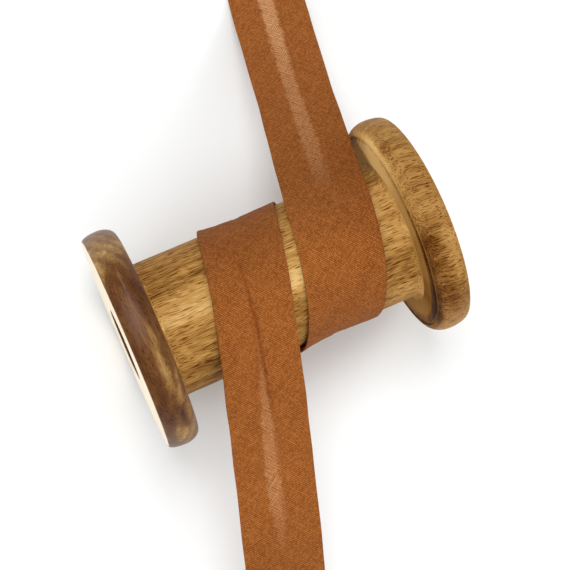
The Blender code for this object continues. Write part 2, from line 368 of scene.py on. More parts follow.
# %% [markdown]
# ## The folded cloth
#
# Single fold binding is a strip with both raw edges turned to the back. Across the strip the
# cloth's own line starts at one raw edge, runs along its flap, round the fold, across the front
# and back to the other raw edge. The raw edges don't meet: in the gap the front is one layer, so
# it sinks a hair between the flaps, and the flaps' edges print through as faint ridges.

# %% Sizes of the fold, and the raw edges' places along the binding
RAW_EDGES = np.array([
    # along, left raw edge, right raw edge, measured from the middle of the front
    (-135, -3.1, 2.8),
    (-104, -3.0, 2.6),
    (-66, -2.8, 1.9),
    (-37, -2.5, 3.1),
    (0, -2.4, 2.4),
    (60, -2.2, 2.0),
    (110, -1.6, 0.6),
    (139, -1.3, 0.4),
    (158, -1.1, 0.6),
    (172, -2.0, 1.0),
    (190, -3.3, 1.6),
    (202, -3.2, 1.8),
    (214, -1.8, 1.6),
    (224, -0.5, 0.5),
    (310, -0.5, 0.5),
], dtype=float) * MM

FLAP_STEPS, FOLD_STEPS, FRONT_STEPS = 11, 5, 50
MIDDLE_CROWD = 0.55           # 0 spaces the front's columns evenly, 1 crowds them fully


def cloth_line(width, left_raw, right_raw):
    """Across the strip: (across, through, out_across, out_through, cloth distance) for each column.

    width, left_raw and right_raw have one value for each station. The line goes right flap, right
    fold, front from right to left, left fold, left flap. out_ is the way that the cloth's good
    side faces. Columns crowd towards the middle of the front, where the raw edges print through.
    """
    turn = (LAYER + AIR) / 2
    fold = (width / 2 - FOLDED / 2)[:, None]
    flap = np.linspace(0, 1, FLAP_STEPS)[None, :]
    angles = np.linspace(-np.pi / 2, np.pi / 2, FOLD_STEPS + 2)[None, 1:-1]
    even = np.linspace(1, -1, FRONT_STEPS)[None, :]
    front = even - MIDDLE_CROWD * np.sin(np.pi * even) / np.pi
    flat = np.ones_like(fold)
    right_flap = right_raw[:, None] + (fold - right_raw[:, None]) * flap
    left_flap = left_raw[:, None] + (-fold - left_raw[:, None]) * flap[:, ::-1]
    across = np.hstack([
        right_flap, fold + turn * np.cos(angles), fold * front,
        -fold - turn * np.cos(angles), left_flap])
    out_across = np.hstack([
        np.zeros_like(right_flap), np.cos(angles) * flat, np.zeros_like(fold * front),
        -np.cos(angles) * flat, np.zeros_like(left_flap)])
    out_through = np.hstack([
        -np.ones_like(right_flap), np.sin(angles) * flat, np.ones_like(fold * front),
        np.sin(angles[:, ::-1]) * flat, -np.ones_like(left_flap)])
    through = turn * out_through
    steps = np.hypot(np.diff(across, axis=1), np.diff(through, axis=1))
    distance = np.hstack([np.zeros_like(fold), np.cumsum(steps, axis=1)])
    distance -= distance[:, [FLAP_STEPS + FOLD_STEPS + FRONT_STEPS // 2]]
    return across, through, out_across, out_through, distance


gap_width = (RAW_EDGES[:, 2] - RAW_EDGES[:, 1]) / MM
print(f"the raw edges stand {gap_width.min():.1f} to {gap_width.max():.1f} mm apart")


# %% [markdown]
# ## Carrying the cloth along its way
#
# Each station's line of cloth leans, so its left end reaches further along the way than its right
# end. What stands off the way is added along the way's outward direction: the fold's own
# thickness, the lift of the edges, the prints of the raw edges and a slow ripple that bias-cut
# cloth gets along its stretched edges.

# %% Lay the cloth's line at each station
STATION_STEP = 0.88 * MM
WIDTH_UNEVEN, WIDTH_WAVE = 0.14 * MM, 23 * MM
RAW_UNEVEN, RAW_WAVE = 0.25 * MM, 6 * MM

lean_reach = TABLE[:, 2].max() / 2 * math.sin(TABLE[:, 1].max())
stations = np.arange(along[0] + lean_reach, along[-1] - lean_reach, STATION_STEP)
width = from_table(2, stations) + WIDTH_UNEVEN * soft_noise(stations[:, None], WIDTH_WAVE, seed=3)
left_raw = np.interp(stations, RAW_EDGES[:, 0], RAW_EDGES[:, 1])
right_raw = np.interp(stations, RAW_EDGES[:, 0], RAW_EDGES[:, 2])
left_raw += RAW_UNEVEN * soft_noise(stations[:, None], RAW_WAVE, seed=5)
right_raw += RAW_UNEVEN * soft_noise(stations[:, None], RAW_WAVE, seed=6)
across, through, out_across, out_through, cloth = cloth_line(width, left_raw, right_raw)
print(f"{len(stations)} stations of {across.shape[1]} columns")

# %% Work out what stands off the way
EDGE_RIPPLE, EDGE_WAVE = 0.10 * MM, 19 * MM
EDGE_WAVE_ACROSS = 3          # how much faster the edge's ripple goes across than along
FRONT_RIPPLE, FRONT_WAVE = 0.05 * MM, 9 * MM
PRINT_STEP = 0.16 * MM
PRINT_SOFT = 0.35 * MM
CREASES = (
    # each crease is rows of: along, across from the middle, how deep, in mm
    ((126, -1.7, 0.0), (132, -1.5, 0.16), (141, -0.9, 0.22), (149, 0.1, 0.26), (160, 0.5, 0.30),
     (171, 1.0, 0.26), (178, 1.3, 0.0)),
    ((146, -1.3, 0.0), (151, -1.2, 0.12), (164, -1.2, 0.14), (172, -1.7, 0.0)),
    ((-108, -2.9, 0.0), (-100, -2.8, 0.05), (-40, -2.4, 0.05), (-30, -2.4, 0.0)),
    ((-108, 2.7, 0.0), (-100, 2.5, 0.05), (-40, 3.0, 0.05), (-30, 3.1, 0.0)),
)
CREASE_HALF = 0.62 * MM

edge_share = across / (width[:, None] / 2)
lift = (from_table(3, stations)[:, None] * np.clip(-edge_share, 0, 1) ** 2
        + from_table(4, stations)[:, None] * np.clip(edge_share, 0, 1) ** 2)
edge_places = np.stack([stations[:, None] + 0 * across, EDGE_WAVE_ACROSS * across], axis=-1)
lift += EDGE_RIPPLE * np.abs(edge_share) ** 3 * soft_noise(edge_places, EDGE_WAVE, seed=11)
is_front = eased(through, -AIR, AIR)
in_gap = np.minimum(
    eased(across, left_raw[:, None] - PRINT_SOFT, left_raw[:, None] + PRINT_SOFT),
    1 - eased(across, right_raw[:, None] - PRINT_SOFT, right_raw[:, None] + PRINT_SOFT))
lift -= is_front * PRINT_STEP * in_gap
crease = np.zeros_like(across)
for rows in CREASES:
    at, middle, depth = np.array(rows).T * MM
    middle, depth = [np.interp(stations, at, values)[:, None] for values in (middle, depth)]
    crease += depth * np.exp(-((across - middle) / CREASE_HALF) ** 2)
lift -= is_front * crease
front_places = np.stack([stations[:, None] + across, stations[:, None] - across], axis=-1)
lift += is_front * FRONT_RIPPLE * soft_noise(front_places, FRONT_WAVE, seed=12)
print(f"the cloth stands {lift.min() / MM:.2f} to {lift.max() / MM:.2f} mm off its way")

# %% Carry the cloth along its way
OFF_SURFACE = 0.02 * MM
lean = from_table(1, stations)[:, None]


def place(off_across, off_through):
    """Points of the cloth's surface, off_ from its middle line, carried onto the leaning way."""
    at = across + off_across
    where = stations[:, None] + at * np.sin(lean)
    out = through + off_through + lift
    angle = np.interp(where, along, heading)
    x = X_AT_TOP - np.interp(stations, along, drift)[:, None] + at * np.cos(lean)
    y = np.interp(where, along, way_y) - out * np.sin(angle)
    z = np.interp(where, along, way_z) + out * np.cos(angle)
    return np.stack([x, y, z], axis=-1)


good_side = place(out_across * LAYER / 2, out_through * LAYER / 2)
back_side = place(-out_across * LAYER / 2, -out_through * LAYER / 2)
binding_points = np.concatenate([good_side, back_side[:, ::-1]], axis=1)
binding_points[..., 2] = np.maximum(binding_points[..., 2], OFF_SURFACE)
print(f"the highest point of the binding is {binding_points[..., 2].max() / MM:.1f} mm up")

# %% Close the sheet and make its mesh
count, columns = binding_points.shape[:2]
first = np.arange(columns // 2 - 1)
mate = columns - 1 - first
last_row = (count - 1) * columns
caps = [
    (first + 1, first, mate, mate - 1),
    (last_row + first, last_row + first + 1, last_row + mate - 1, last_row + mate),
]
cloth_uv = np.stack([cloth, stations[:, None] + across * np.sin(lean)], axis=-1) / MM
cloth_uv = np.concatenate([cloth_uv, cloth_uv[:, ::-1]], axis=1)
binding = grid_object("binding_cloth", binding_points, close_columns=True, caps=caps, uv=cloth_uv)

# %% [markdown]
# ## What the material needs to know
#
# Between the raw edges the cloth is single, and there the light that comes through from a pale
# surface behind makes a paler stripe. Where the wood of the spool is behind, no light comes
# through, so the stripe fades. Both are stored on the mesh: how far a point is inside the gap, and
# how much light reaches the cloth from behind. So are the depth of the creases, and a painted shade
# that varies slowly along the strip, darker where a stretch faces away from the lamps.

# %% Store the stripe on the mesh
NOT_IN_GAP = -9.0             # mm, for the flaps behind, which never show the stripe
GLOW = np.array([
    # along, light from behind
    (-140, 1.2), (-90, 1.1), (-75, 0.97), (-60, 0.85), (-37, 0.66), (-29, 0.4), (-21, 0.0),
    (152, 0.0), (163, 0.35), (172, 0.62), (184, 0.74), (200, 0.74), (208, 0.55), (216, 0.25),
    (224, 0.0),
])
glow = np.interp(stations, GLOW[:, 0] * MM, GLOW[:, 1])[:, None]
inside_gap = np.minimum(across - left_raw[:, None], right_raw[:, None] - across) / MM
inside_gap = np.where(through > 0, inside_gap, NOT_IN_GAP)
PAINTED_SHADE_ALONG = np.array([
    # along, how bright the cloth is painted there: painted shade where a stretch faces away from the lamps
    (-110, 0.94), (-60, 0.78), (-27, 0.69), (-13, 0.82), (0, 0.93), (12, 0.86), (25, 0.82),
    (60, 0.87), (112, 0.65), (124, 0.71), (136, 0.86), (150, 0.92), (175, 0.85), (203, 0.91),
    (224, 0.81),
])
painted_shade = np.interp(stations, PAINTED_SHADE_ALONG[:, 0] * MM, PAINTED_SHADE_ALONG[:, 1])[:, None]
fields = {"inside_gap": inside_gap, "light_behind": glow + 0 * across,
          "crease": is_front * crease / MM, "painted_shade": painted_shade + 0 * across}
for name, field in fields.items():
    point_attribute(binding, name, np.concatenate([field, field[:, ::-1]], axis=1))

# %% [markdown]
# ## Helpers for materials
#
# Colours are given as sRGB hex, as a colour picker shows them, and turned to the linear values
# that a shader works in. One function adds any node: its kind, its inputs in order or by name, and
# its settings. An input is a number or colour, or the output of another node. Mix and Vector Math
# have several inputs of one name, so theirs go by number, and a Map Range takes its value, the
# range that it comes from and the range that it goes to.


# %% Colour and node helpers
def linear(hexcode, alpha=1.0):
    """sRGB hex such as "a0622d" to a linear colour."""
    parts = np.array([int(hexcode[i:i + 2], 16) for i in (0, 2, 4)]) / 255
    values = np.where(parts <= 0.04045, parts / 12.92, ((parts + 0.055) / 1.055) ** 2.4)
    return (*[float(value) for value in values], alpha)


def set_inputs(tree, node, inputs):
    """Links or sets a node's inputs, given in order, or in a dict by name or number."""
    for key, value in inputs.items() if isinstance(inputs, dict) else enumerate(inputs):
        if isinstance(value, bpy.types.NodeSocket):
            tree.links.new(value, node.inputs[key])
        else:
            node.inputs[key].default_value = value


def add(tree, kind, inputs=(), out=0, stops=(), **settings):
    """Adds a shader node. Returns its output out, by number or name, or the node if out is None.

    stops, for a Color Ramp, lists (position, hex): the two ends first, then those between.
    """
    node = tree.nodes.new("ShaderNode" + kind)
    for number, (position, hexcode) in enumerate(stops):
        elements = node.color_ramp.elements
        stop = elements[number] if number < 2 else elements.new(position)
        stop.position, stop.color = position, linear(hexcode)
    for name, value in settings.items():
        setattr(node, name, value)
    set_inputs(tree, node, inputs)
    return node if out is None else node.outputs[out]


def new_material(name):
    """An empty material, its node tree and its Principled shader, joined to the output."""
    material = bpy.data.materials.new(name)
    material.use_nodes = True
    tree = material.node_tree
    tree.nodes.clear()
    shader = add(tree, "BsdfPrincipled", out=None)
    add(tree, "OutputMaterial", (shader.outputs[0],), out=None)
    return material, tree, shader


print("mid brown a0622d in linear light:", [round(value, 3) for value in linear("a0622d")])

# %% [markdown]
# ## The wood's figure
#
# A tree's heart and sap wood, and the way a blank was sawn, give each piece its large dark and
# pale parts. Here they are a field on the mesh: a base tone with a soft patch added for each row
# of a short table, where a patch is a bell curve in the angle round the spool and in the place
# along it; a few marked rows paint light and shade. The grain then breaks up the patches' edges.
# The flat faces are turned square and sanded, so they are plainer and the inner face paler. The
# end face is painted near white, a painted highlight, and painted shade darkens the inner groove.

# %% The patches of each piece
# each row: angle, place along x in mm, reach in angle, reach in x, strength
BARREL_PATCHES = (
    (-36, -30, 14, 30, -0.06),
    (-12, -30, 8, 30, 0.22),
    (-1, -30, 6, 30, 0.26),
    (12, -30, 6, 30, -0.02),
    (24, -33, 5, 25, 0.22),
    # darker beside the binding's lower edge: partly darker streaks, partly painted shade of the binding
    (44, -30, 15, 25, -0.10),
    (-24, 4, 16, 12, 0.10),
    (6, 4, 13, 12, 0.34),
    (24, 4, 8, 12, -0.08),
    (-26, 36, 14, 12, 0.22),
    (2, 38, 11, 12, 0.26),
    (32, 37, 10, 12, -0.06),
    (64, 37, 14, 12, 0.20),
)
LEFT_PATCHES = (
    (-54, -45, 17, 20, 0.24),
    (-38, -49.4, 7, 1.2, 0.26),
    (-27, -46.4, 9, 5.0, -0.06),
    (-10, -47.6, 14, 3.0, 0.02),
    (0, -42.8, 7, 1.4, 0.20),
    (15, -44.0, 10, 1.6, 0.28),
    (33, -42.8, 11, 1.5, 0.20),
    (10, -48.6, 14, 1.5, -0.10),
    (47, -47.3, 20, 3.0, -0.20),
    (-28, -41.0, 16, 2.2, -0.12),
    (48, -43.2, 9, 0.9, -0.30),
    (60, -44.4, 14, 4.0, 0.32),
    (34, -40.6, 26, 1.5, 0.16),
)
RIGHT_PATCHES = (
    (-42, 41.5, 6, 2.4, -0.16),
    (-28, 45, 13, 20, 0.06),
    (-6, 45, 14, 20, -0.02),
    (12, 42, 5, 2.4, -0.28),
    # inner face: lighter at the top, painted light over the binding's shadow, and darker towards the
    # bottom
    (-50, 39.4, 24, 1.3, 0.75),
    (20, 39.4, 16, 1.3, -0.20),
    (66, 39.4, 26, 1.3, -0.55),
    (16, 47.6, 15, 2.6, 0.16),
    (24, 42.0, 8, 2.6, -0.24),
    (38, 43.0, 7, 3.2, -0.22),
    (22, 44.5, 6, 1.6, -0.06),
    (47, 43, 6, 6, -0.16),
    (58, 45, 12, 20, -0.06),
    (78, 45, 12, 20, 0.12),
)
print(f"patches: {len(BARREL_PATCHES)}, {len(LEFT_PATCHES)} and {len(RIGHT_PATCHES)}")

# %% Store the figure on each piece
INNER_FACE_TONE = 0.64
# the end faces are painted near their palest tone: a painted highlight where the left lamp burns the end
# face out
END_FACE_PAINTED_LIGHT = 0.96
INNER_FACE_SHARE = 0.6        # how much of the patches shows on the inner face
# painted shade: a dark line in the groove, where the bead overhangs the inner face
GROOVE_PAINTED_SHADE, GROOVE_SHADE_REACH = 0.14, 1.5 * MM
GROOVE_RADIUS = RIM_RADIUS - BEAD_DEPTH - CREASE_WIDTH / 2
FLAT_FROM, FLAT_FULL = 0.85, 0.99                 # how much of a flat face's normal is along X
INNER_FULL, INNER_NONE = 40.5 * MM, 42 * MM       # where the inner side ends, from the middle


def store_figure(thing, base, patches, flange=False):
    """base plus a bell curve for each patch, in the angle round the spool and the place along it."""
    count = len(thing.data.vertices)
    points = np.empty(count * 3, dtype=np.float32)
    normals = np.empty(count * 3, dtype=np.float32)
    thing.data.vertices.foreach_get("co", points)
    thing.data.vertices.foreach_get("normal", normals)
    x, y, z = (points.reshape(-1, 3).astype(float) - (MIDDLE_X, AXIS_Y, AXIS_Z)).T
    angle = np.degrees(np.arctan2(-y, z))
    rows = np.array(patches)[:, :, None]
    bells = np.exp(-((angle - rows[:, 0]) / rows[:, 2]) ** 2 - ((x / MM - rows[:, 1]) / rows[:, 3]) ** 2)
    patchwork = (rows[:, 4] * bells).sum(axis=0)
    figure = base + patchwork
    flat_face = eased(np.abs(normals.reshape(-1, 3)[:, 0]), FLAT_FROM, FLAT_FULL)
    if flange:
        inner_side = 1 - eased(np.abs(x), INNER_FULL, INNER_NONE)
        # each flat face takes its own tone; the end face's is a painted highlight
        face_tone = END_FACE_PAINTED_LIGHT + (INNER_FACE_TONE - END_FACE_PAINTED_LIGHT) * inner_side
        figure += (face_tone + INNER_FACE_SHARE * inner_side * patchwork - figure) * flat_face
        # painted shade in the groove under the bead
        groove = np.exp(-((np.hypot(y, z) - GROOVE_RADIUS) / GROOVE_SHADE_REACH) ** 2)
        figure -= GROOVE_PAINTED_SHADE * groove * inner_side
    point_attribute(thing, "figure", figure)
    point_attribute(thing, "flat_face", flat_face)
    print(f"{thing.name}: figure from {figure.min():.2f} to {figure.max():.2f}")


store_figure(barrel, base=0.54, patches=BARREL_PATCHES)
store_figure(flange_left, base=0.32, patches=LEFT_PATCHES, flange=True)
store_figure(flange_right, base=0.50, patches=RIGHT_PATCHES, flange=True)

# %% [markdown]
# ## The wood
#
# The spool is mango wood: golden to chocolate brown, with short dark pores that run along the
# grain. The barrel's and the right flange's grain runs along the spool, so there the pores are
# fine dashes along X. The left flange was cut the other way of the plank, and its grain runs
# across. A pattern in space, stretched along the grain, gives dashes on the sides and dots on the
# end grain at once. Real pores are 0.1 to 0.2 mm wide, finer than the picture shows, so they are
# drawn about twice as wide.

# %% The grain's space and its layers
MOTTLE_WIDTH = 5.0            # mm, cloudy variation
STREAK_WIDTH = 1.1            # mm, growth streaks
FIBRE_WIDTH = 0.45            # mm, bundles of fibres
RING_WIDTH = 3.4              # mm between growth rings
RING_WAVER = 6.0              # radians, how far the mottle pushes a ring to and fro
RING_STRENGTH = 0.05
PITH = (0, 46, -38)           # mm, the tree's middle, seen from the spool's own middle
WANDER, WANDER_SIZE = 1.6, 14     # mm, how far the grain strays, and over what distance
LAYER_DETAIL, LAYER_ROUGHNESS = 2.0, 0.55
GRAIN_LAYERS = (
    # name, width in mm, how many times as long, strength
    ("mottle", MOTTLE_WIDTH, 6, 0.65),
    ("streak", STREAK_WIDTH, 16, 0.46),
    ("fibre", FIBRE_WIDTH, 9, 0.52),
)


def grain_space(tree, grain_turn):
    """Object coordinates in mm from the spool's middle, turned so that X runs with the grain."""
    coords = add(tree, "TexCoord", out="Object")
    centred = add(tree, "Mapping", {
        "Vector": coords, "Location": (-MIDDLE_X / MM, -AXIS_Y / MM, -AXIS_Z / MM),
        "Scale": (1 / MM, 1 / MM, 1 / MM)})
    grain = add(tree, "Mapping", {"Vector": centred, "Rotation": (0, 0, math.radians(grain_turn))})
    wander = add(tree, "TexNoise", {"Vector": grain, "Scale": 1 / WANDER_SIZE, "Detail": 1.0},
                 out="Color")
    return add(tree, "VectorMath", {0: wander, 1: (0.0, WANDER, WANDER), 2: grain},
               operation="MULTIPLY_ADD")


def grain_layers(tree, grain, sides, depth):
    """The stored figure plus each layer of noise drawn out along the grain, and the growth rings.

    sides is 1 round a piece and less on its flat faces, where the pattern fades.
    """
    level = add(tree, "Attribute", out="Fac", attribute_name="figure")
    noises = {}
    for layer, width, stretch, strength in GRAIN_LAYERS:
        drawn = add(tree, "Mapping", {"Vector": grain, "Scale": (1 / stretch, 1, 1)})
        noise = add(tree, "TexNoise", {"Vector": drawn, "Scale": 1 / width, "Detail": LAYER_DETAIL,
                                       "Roughness": LAYER_ROUGHNESS})
        swing = add(tree, "Math", (noise, 0.5), operation="SUBTRACT")
        swing = add(tree, "Math", (swing, sides), operation="MULTIPLY")
        level = add(tree, "Math", (swing, strength * depth, level), operation="MULTIPLY_ADD")
        noises[layer] = noise
    from_pith = add(tree, "VectorMath", {0: grain, 1: PITH}, operation="SUBTRACT")
    from_pith = add(tree, "VectorMath", {0: from_pith, 1: (0, 1, 1)}, operation="MULTIPLY")
    reach = add(tree, "VectorMath", (from_pith,), out="Value", operation="LENGTH")
    ring = add(tree, "Math", (reach, 2 * math.pi / RING_WIDTH), operation="MULTIPLY")
    ring = add(tree, "Math", (noises["mottle"], RING_WAVER, ring), operation="MULTIPLY_ADD")
    ring = add(tree, "Math", (ring,), operation="SINE")
    ring = add(tree, "Math", (ring, sides), operation="MULTIPLY")
    level = add(tree, "Math", (ring, RING_STRENGTH, level), operation="MULTIPLY_ADD")
    return level, noises["fibre"], ring


print("grain layers:", ", ".join(f"{name} {width} mm" for name, width, _, _ in GRAIN_LAYERS))

# %% The wood material
PORE_WIDTH = 0.25             # mm, drawn about twice the real width so that it shows
PORE_LENGTH = 3.2             # mm
PORE_EDGE = 0.10              # how softly a pore begins
PORES_IN_RING = 0.03          # how much a growth ring gathers them
PORES_IN_PALE = -0.22         # pale wood has fewer
FLAT_SHOWS = 0.27             # how much of the pattern is left on a flat face
FLAT_ROUGH = 0.5              # roughness added as the pattern fades, in full where none is left
FIBRE_ROUGH = 0.16            # how much rougher a pale fibre is than a dark one
PORE_TINT = "a88049"          # what the colour is multiplied by in a pore
WOOD_BUMP, WOOD_BUMP_HEIGHT = 0.15, 0.05 * MM


def wood_pores(tree, grain, level, ring, pore_level):
    """Short dashes where a fine drawn-out noise passes pore_level, more of them in dark wood."""
    space = add(tree, "Mapping", {"Vector": grain, "Scale": (PORE_WIDTH / PORE_LENGTH, 1, 1)})
    pores = add(tree, "TexNoise", {"Vector": space, "Scale": 1 / PORE_WIDTH, "Detail": 0.0})
    crowd = add(tree, "Math", (ring, PORES_IN_RING, pores), operation="MULTIPLY_ADD")
    crowd = add(tree, "Math", (level, PORES_IN_PALE, crowd), operation="MULTIPLY_ADD")
    return add(tree, "MapRange", (crowd, pore_level, pore_level + PORE_EDGE),
               interpolation_type="SMOOTHSTEP")


def wood_material(name, tones, grain_turn, depth, pore_level, gloss, coat):
    """Turned mango wood: warm tones with dark dashes, and a soft gleam where it is polished.

    tones are the ramp's stops from heart to sap wood, depth is how strongly the grain shows, gloss
    is the roughness of the smoothest fibres and coat the weight of the polish.
    """
    material, tree, shader = new_material(name)
    grain = grain_space(tree, grain_turn)
    sides = add(tree, "Attribute", out="Fac", attribute_name="flat_face")
    sides = add(tree, "MapRange", (sides, 0.0, 1.0, 1.0, FLAT_SHOWS))
    level, fibre, ring = grain_layers(tree, grain, sides, depth)
    colour = add(tree, "ValToRGB", (level,), stops=tones)
    pore = wood_pores(tree, grain, level, ring, pore_level)
    pore = add(tree, "Math", (pore, sides), operation="MULTIPLY")
    colour = add(tree, "Mix", {0: pore, 6: colour, 7: linear(PORE_TINT)}, out=2, data_type="RGBA",
                 blend_type="MULTIPLY")
    height = add(tree, "Math", (pore, -1.0, fibre), operation="MULTIPLY_ADD")
    bump = add(tree, "Bump", {"Height": height, "Strength": WOOD_BUMP, "Distance": WOOD_BUMP_HEIGHT})
    roughest = gloss + FLAT_ROUGH
    rough = add(tree, "MapRange", (fibre, 0.0, 1.0, roughest, roughest + FIBRE_ROUGH))
    rough = add(tree, "Math", (sides, -FLAT_ROUGH, rough), operation="MULTIPLY_ADD", use_clamp=True)
    set_inputs(tree, shader, {
        "Base Color": colour, "Roughness": rough, "Normal": bump, "IOR": 1.45,
        "Specular IOR Level": 0.06, "Coat Weight": coat, "Coat Roughness": 0.36})
    print(f"{name}: {len(tree.nodes)} nodes")
    return material


# %% [markdown]
# ## Three tones of one wood
#
# The barrel is the palest, golden with olive streaks, and only sanded. The right flange is tan with
# reddish dark bands and rubbed smoother. The left one has a chocolate heart on its outer half, and
# is the only one with a coat of polish.

# %% Finish the spool
WOOD_SHARP = math.radians(40)

barrel_wood = wood_material(
    "mango_wood_golden",
    [(0.0, "4a2b0e"), (1.0, "dab577"), (0.3, "7b5223"), (0.5, "9e7339"), (0.75, "be9252")],
    grain_turn=0, depth=1.0, pore_level=0.44, gloss=0.5, coat=0.0)
flange_wood = wood_material(
    "mango_wood_tan",
    [(0.0, "3e220a"), (1.0, "d0a96c"), (0.25, "6b4317"), (0.5, "996f39"), (0.75, "b48b50")],
    grain_turn=4, depth=0.62, pore_level=0.455, gloss=0.4, coat=0.0)
heart_wood = wood_material(
    "mango_wood_heart",
    # the near-white top stop gives the end face its painted highlight
    [(0.0, "301a0c"), (1.0, "efe5d2"), (0.22, "553117"), (0.4, "68421f"), (0.62, "94703e"),
     (0.8, "bd9d66")],
    grain_turn=84, depth=0.6, pore_level=0.57, gloss=0.36, coat=0.38)
for piece, wood, node, slot in (
        (barrel, barrel_wood, "spool_barrel", "barrel_wood"),
        (flange_left, heart_wood, "spool_flange_left", "left_flange_wood"),
        (flange_right, flange_wood, "spool_flange_right", "right_flange_wood")):
    piece.data.materials.append(wood)
    piece.data.set_sharp_from_angle(angle=WOOD_SHARP)
    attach(piece, "root")
    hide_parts(node)

# %% [markdown]
# ## The cotton
#
# The binding is plain-weave cotton lawn, cut on the bias: the strip was cut at 45 degrees to the
# threads, so both sets of threads run slantwise across it. The real threads are about 0.38 mm
# apart, hardly more than a pixel here, so the weave is drawn at 0.5 mm to show. Over and under is a
# checkerboard of thread crossings: on each square one thread is on top, and it is highest at its
# middle.

# %% The weave
THREAD = 0.50                 # mm between threads, drawn coarser than the real 0.38
BIAS_CUT = math.radians(45)
THREAD_STRAY = 0.35           # mm, how far a thread strays from straight
STRAYS_PER_MM = 0.9
PATCHES_PER_MM = 0.16
# how much each of these brightens the dyed cloth; the thread's height is painted shade, darker in the
# hollows between threads
PATCH_SHARE, SLUB_SHARE, SPECKLE_SHARE, THREAD_SHADE_SHARE = 0.09, 0.12, 0.27, 0.71


def weave(tree, uv):
    """Threads on the bias. At a crossing, half a sine wave over each thread, multiplied, is the height."""
    wobble = add(tree, "TexNoise", {"Vector": uv, "Scale": STRAYS_PER_MM, "Detail": 2.0}, out="Color")
    wobble = add(tree, "VectorMath", (wobble, (0.5, 0.5, 0.5)), operation="SUBTRACT")
    shifted = add(tree, "VectorMath", {0: wobble, 1: (THREAD_STRAY, THREAD_STRAY, 0.0), 2: uv},
                  operation="MULTIPLY_ADD")
    space = add(tree, "Mapping", {"Vector": shifted, "Rotation": (0, 0, BIAS_CUT),
                                  "Scale": (1 / THREAD, 1 / THREAD, 1)})
    split = add(tree, "SeparateXYZ", (space,), out=None)
    threads, cells, slubs, rounds = split.outputs[:2], [], [], []
    for thread in threads:
        cell = add(tree, "Math", (thread,), operation="FLOOR")
        inside = add(tree, "Math", (thread, cell), operation="SUBTRACT")
        inside = add(tree, "Math", (inside, math.pi), operation="MULTIPLY")
        cells.append(cell)
        rounds.append(add(tree, "Math", (inside,), operation="SINE"))
        slubs.append(add(tree, "TexWhiteNoise", {"W": cell}, noise_dimensions="1D"))
    height = add(tree, "Math", rounds, operation="MULTIPLY")
    return {"space": space, "threads": threads, "cells": cells, "slubs": slubs, "height": height}


def dyed_tone(tree, uv, woven):
    """Brighter on top of a thread and darker between, a painted shade, uneven from thread to thread and
    from crossing to crossing.
    """
    over = add(tree, "Math", woven["cells"], operation="ADD")
    over = add(tree, "Math", (over, 2.0), operation="FLOORED_MODULO")
    slub = add(tree, "Mix", {0: over, 2: woven["slubs"][0], 3: woven["slubs"][1]}, out=0)
    patchy = add(tree, "TexNoise", {"Vector": uv, "Scale": PATCHES_PER_MM, "Detail": 3.0})
    crossing = add(tree, "CombineXYZ", woven["cells"])
    speckle = add(tree, "TexWhiteNoise", {"Vector": crossing}, noise_dimensions="2D")
    tone = add(tree, "Math", (patchy, PATCH_SHARE), operation="MULTIPLY")
    # the last layer, the thread's height, is painted shade in the weave's hollows
    for layer, share in ((slub, SLUB_SHARE), (speckle, SPECKLE_SHARE), (woven["height"], THREAD_SHADE_SHARE)):
        tone = add(tree, "Math", (layer, share, tone), operation="MULTIPLY_ADD")
    return tone


print(f"weave drawn with {1 / THREAD:.1f} threads a mm")

# %% The pale stripe
LIGHT_LINES = 1.6             # threads between the pale lines where light comes through
LINE_BEND = 3.0               # radians, how far a line bends
LINE_JITTER = 1.1             # radians, how far it differs from thread to thread
LINE_PALE = (0.02, 0.52)      # how pale a line is where the other set shows, and where its own does
SIDE_EDGES = (0.38, 0.62)     # values of the noise between which one set gives way to the other
FRAY = 2.8                    # mm, how ragged the gap's edges are
STRIPE_EDGE = (0.9, 2.5)      # mm inside the ragged gap where the stripe begins, and where it is full
OPEN_LIGHT = (0.9, 1.25)      # light from behind, from weak to strong
OPEN_PALE = (0.05, 0.20)      # how pale the whole gap is in weak light, and in strong light
STROKE_EDGES = (0.3, 0.7)     # values of the noise that breaks the lines into short strokes
STROKE_PALE = (0.6, 1.3)      # how much a stroke dims or brightens the line
# how often each noise changes from thread to thread
FRAY_SCALE, BEND_SCALE, SIDE_SCALE, STROKE_SCALE = 0.42, 0.25, 0.16, 0.5


